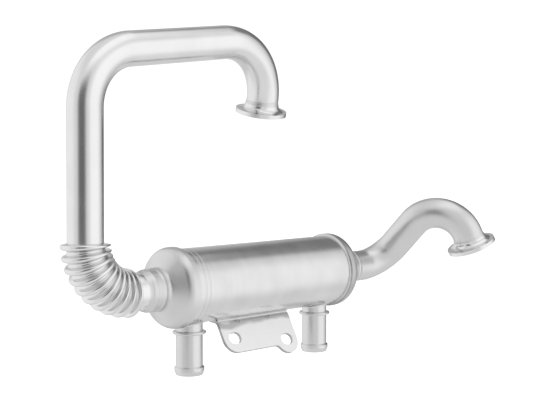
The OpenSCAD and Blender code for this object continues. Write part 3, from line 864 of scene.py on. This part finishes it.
# Panels of the studio, as seen from the object: azimuth from the camera to the right, elevation,
# softness of the edges, all in degrees, and brightness. Later panels lie over earlier ones.
ALL_ROUND = (-400, 400)
PANELS = [
    (ALL_ROUND, (-95, -30), 14, 0.84),
    ((-38, 160), (52, 95), 12, 1.10),
    ((38, 104), (-32, 36), 14, 1.12),
    ((-140, -64), (-46, 42), 14, 0.98),
    ((128, 178), (-11, 40), 12, 0.16),
    ((120, 176), (36, 52), 7, 0.14),
    ((-200, -147), (16, 56), 9, 0.45),
    ((174, 200), (16, 56), 9, 0.52),
    ((-200, -152), (-12, 10), 6, 0.82),
    ((-200, -140), (-62, -18), 12, 0.68),
    ((150, 200), (-42, -22), 10, 0.70),
]
# Dark card: how far it stands before the cooler, its reach across the view and that of its full dark,
# the same two in height, all in metres, then its tone, its own glow, and the points along each side
FLAG_AWAY = 0.45
FLAG_ACROSS = (-0.42, 0.03)
FLAG_CORE = (-0.25, -0.10)
FLAG_TALL = (-0.16, 0.50)
FLAG_CORE_TALL = (0.04, 0.26)
FLAG_TONE = 0.02
FLAG_LEVEL = 0.12
FLAG_POINTS = 33


def dotted(tree, direction, axis):
    """Dot product of a direction and a fixed axis."""
    node = tree.nodes.new("ShaderNodeVectorMath")
    node.operation = "DOT_PRODUCT"
    wire(tree, node.inputs[0], direction)
    node.inputs[1].default_value = axis
    return node.outputs["Value"]


def studio_light():
    """Soft light from all round: the panels are laid over an even base, each mixed in by its window
    over azimuth and elevation. The camera itself sees plain white."""
    world = bpy.data.worlds.new("studio")
    bpy.context.scene.world = world
    world.use_nodes = True
    tree = world.node_tree
    direction = tree.nodes.new("ShaderNodeTexCoord").outputs["Generated"]
    right, _, back = view_axes(VIEW_AZIMUTH, 0)
    side = dotted(tree, direction, right)
    front = dotted(tree, direction, back)
    height = dotted(tree, direction, (0, 0, 1))
    to_degrees = 180 / math.pi
    azimuth = math_node(tree, "MULTIPLY", math_node(tree, "ARCTAN2", side, front), to_degrees)
    elevation = math_node(tree, "MULTIPLY", math_node(tree, "ARCSINE", height), to_degrees)
    level = BASE_LEVEL
    for azimuths, elevations, soft, bright in PANELS:
        share = math_node(tree, "MULTIPLY", window(tree, azimuth, *azimuths, soft),
                          window(tree, elevation, *elevations, soft))
        step = math_node(tree, "SUBTRACT", bright, level)
        level = math_node(tree, "MULTIPLY_ADD", step, share, level)
    lit = tree.nodes["Background"]
    wire(tree, lit.inputs["Strength"], level)
    lit.inputs["Color"].default_value = (1, 1, 1, 1)
    plain = tree.nodes.new("ShaderNodeBackground")
    plain.inputs["Strength"].default_value = BACKDROP_LEVEL
    plain.inputs["Color"].default_value = (1, 1, 1, 1)
    pick = tree.nodes.new("ShaderNodeMixShader")
    wire(tree, pick.inputs[0], tree.nodes.new("ShaderNodeLightPath").outputs["Is Camera Ray"])
    wire(tree, pick.inputs[1], lit.outputs[0])
    wire(tree, pick.inputs[2], plain.outputs[0])
    wire(tree, tree.nodes["World Output"].inputs["Surface"], pick.outputs[0])


def ramp_up(values, low, high):
    """0 below low, 1 above high, and a smooth step between: 3 t squared less 2 t cubed."""
    share = np.clip((values - low) / (high - low), 0, 1)
    return share ** 2 * (3 - 2 * share)


def plateau(values, reach, core):
    """1 within the core, 0 outside the reach, and a smooth step on each side between them."""
    return ramp_up(values, reach[0], core[0]) * ramp_up(-values, -reach[1], -core[1])


def dark_flag():
    """Dark card beside the camera, which the bright pipe mirrors as a soft dark band. It is a flat
    sheet that fades out toward its edges, and the camera doesn't see it."""
    right, _, back = (np.array(v) for v in view_axes(VIEW_AZIMUTH, 0))
    across = np.linspace(*FLAG_ACROSS, FLAG_POINTS)[None, :]
    tall = np.linspace(*FLAG_TALL, FLAG_POINTS)[:, None]
    points = shell_mid + FLAG_AWAY * back + across[..., None] * right + tall[..., None] * UP
    fade = plateau(across, FLAG_ACROSS, FLAG_CORE) * plateau(tall, FLAG_TALL, FLAG_CORE_TALL)
    index = np.arange(FLAG_POINTS ** 2).reshape(FLAG_POINTS, FLAG_POINTS)
    corners = [index[:-1, :-1], index[:-1, 1:], index[1:, 1:], index[1:, :-1]]
    mesh = bpy.data.meshes.new("dark_flag")
    mesh.from_pydata(points.reshape(-1, 3), [], np.stack(corners, axis=-1).reshape(-1, 4))
    layer = mesh.attributes.new("fade", "FLOAT", "POINT")
    layer.data.foreach_set("value", fade.astype(np.float32).ravel())
    flag = bpy.data.objects.new("dark_flag", mesh)
    bpy.context.scene.collection.objects.link(flag)
    black = bpy.data.materials.new("flag_black")
    black.use_nodes = True
    tree = black.node_tree
    shader = tree.nodes["Principled BSDF"]
    shader.inputs["Base Color"].default_value = (FLAG_TONE, FLAG_TONE, FLAG_TONE, 1)
    shader.inputs["Roughness"].default_value = 1.0
    shader.inputs["Emission Color"].default_value = (1, 1, 1, 1)
    shader.inputs["Emission Strength"].default_value = FLAG_LEVEL
    faded = tree.nodes.new("ShaderNodeAttribute")
    faded.attribute_name = "fade"
    wire(tree, shader.inputs["Alpha"], faded.outputs["Fac"])
    mesh.materials.append(black)
    flag.visible_camera = False
    flag.visible_shadow = False
    flag.visible_diffuse = False


photo_camera()
pale_floor()
studio_light()
dark_flag()
bpy.context.scene.view_settings.view_transform = "Standard"
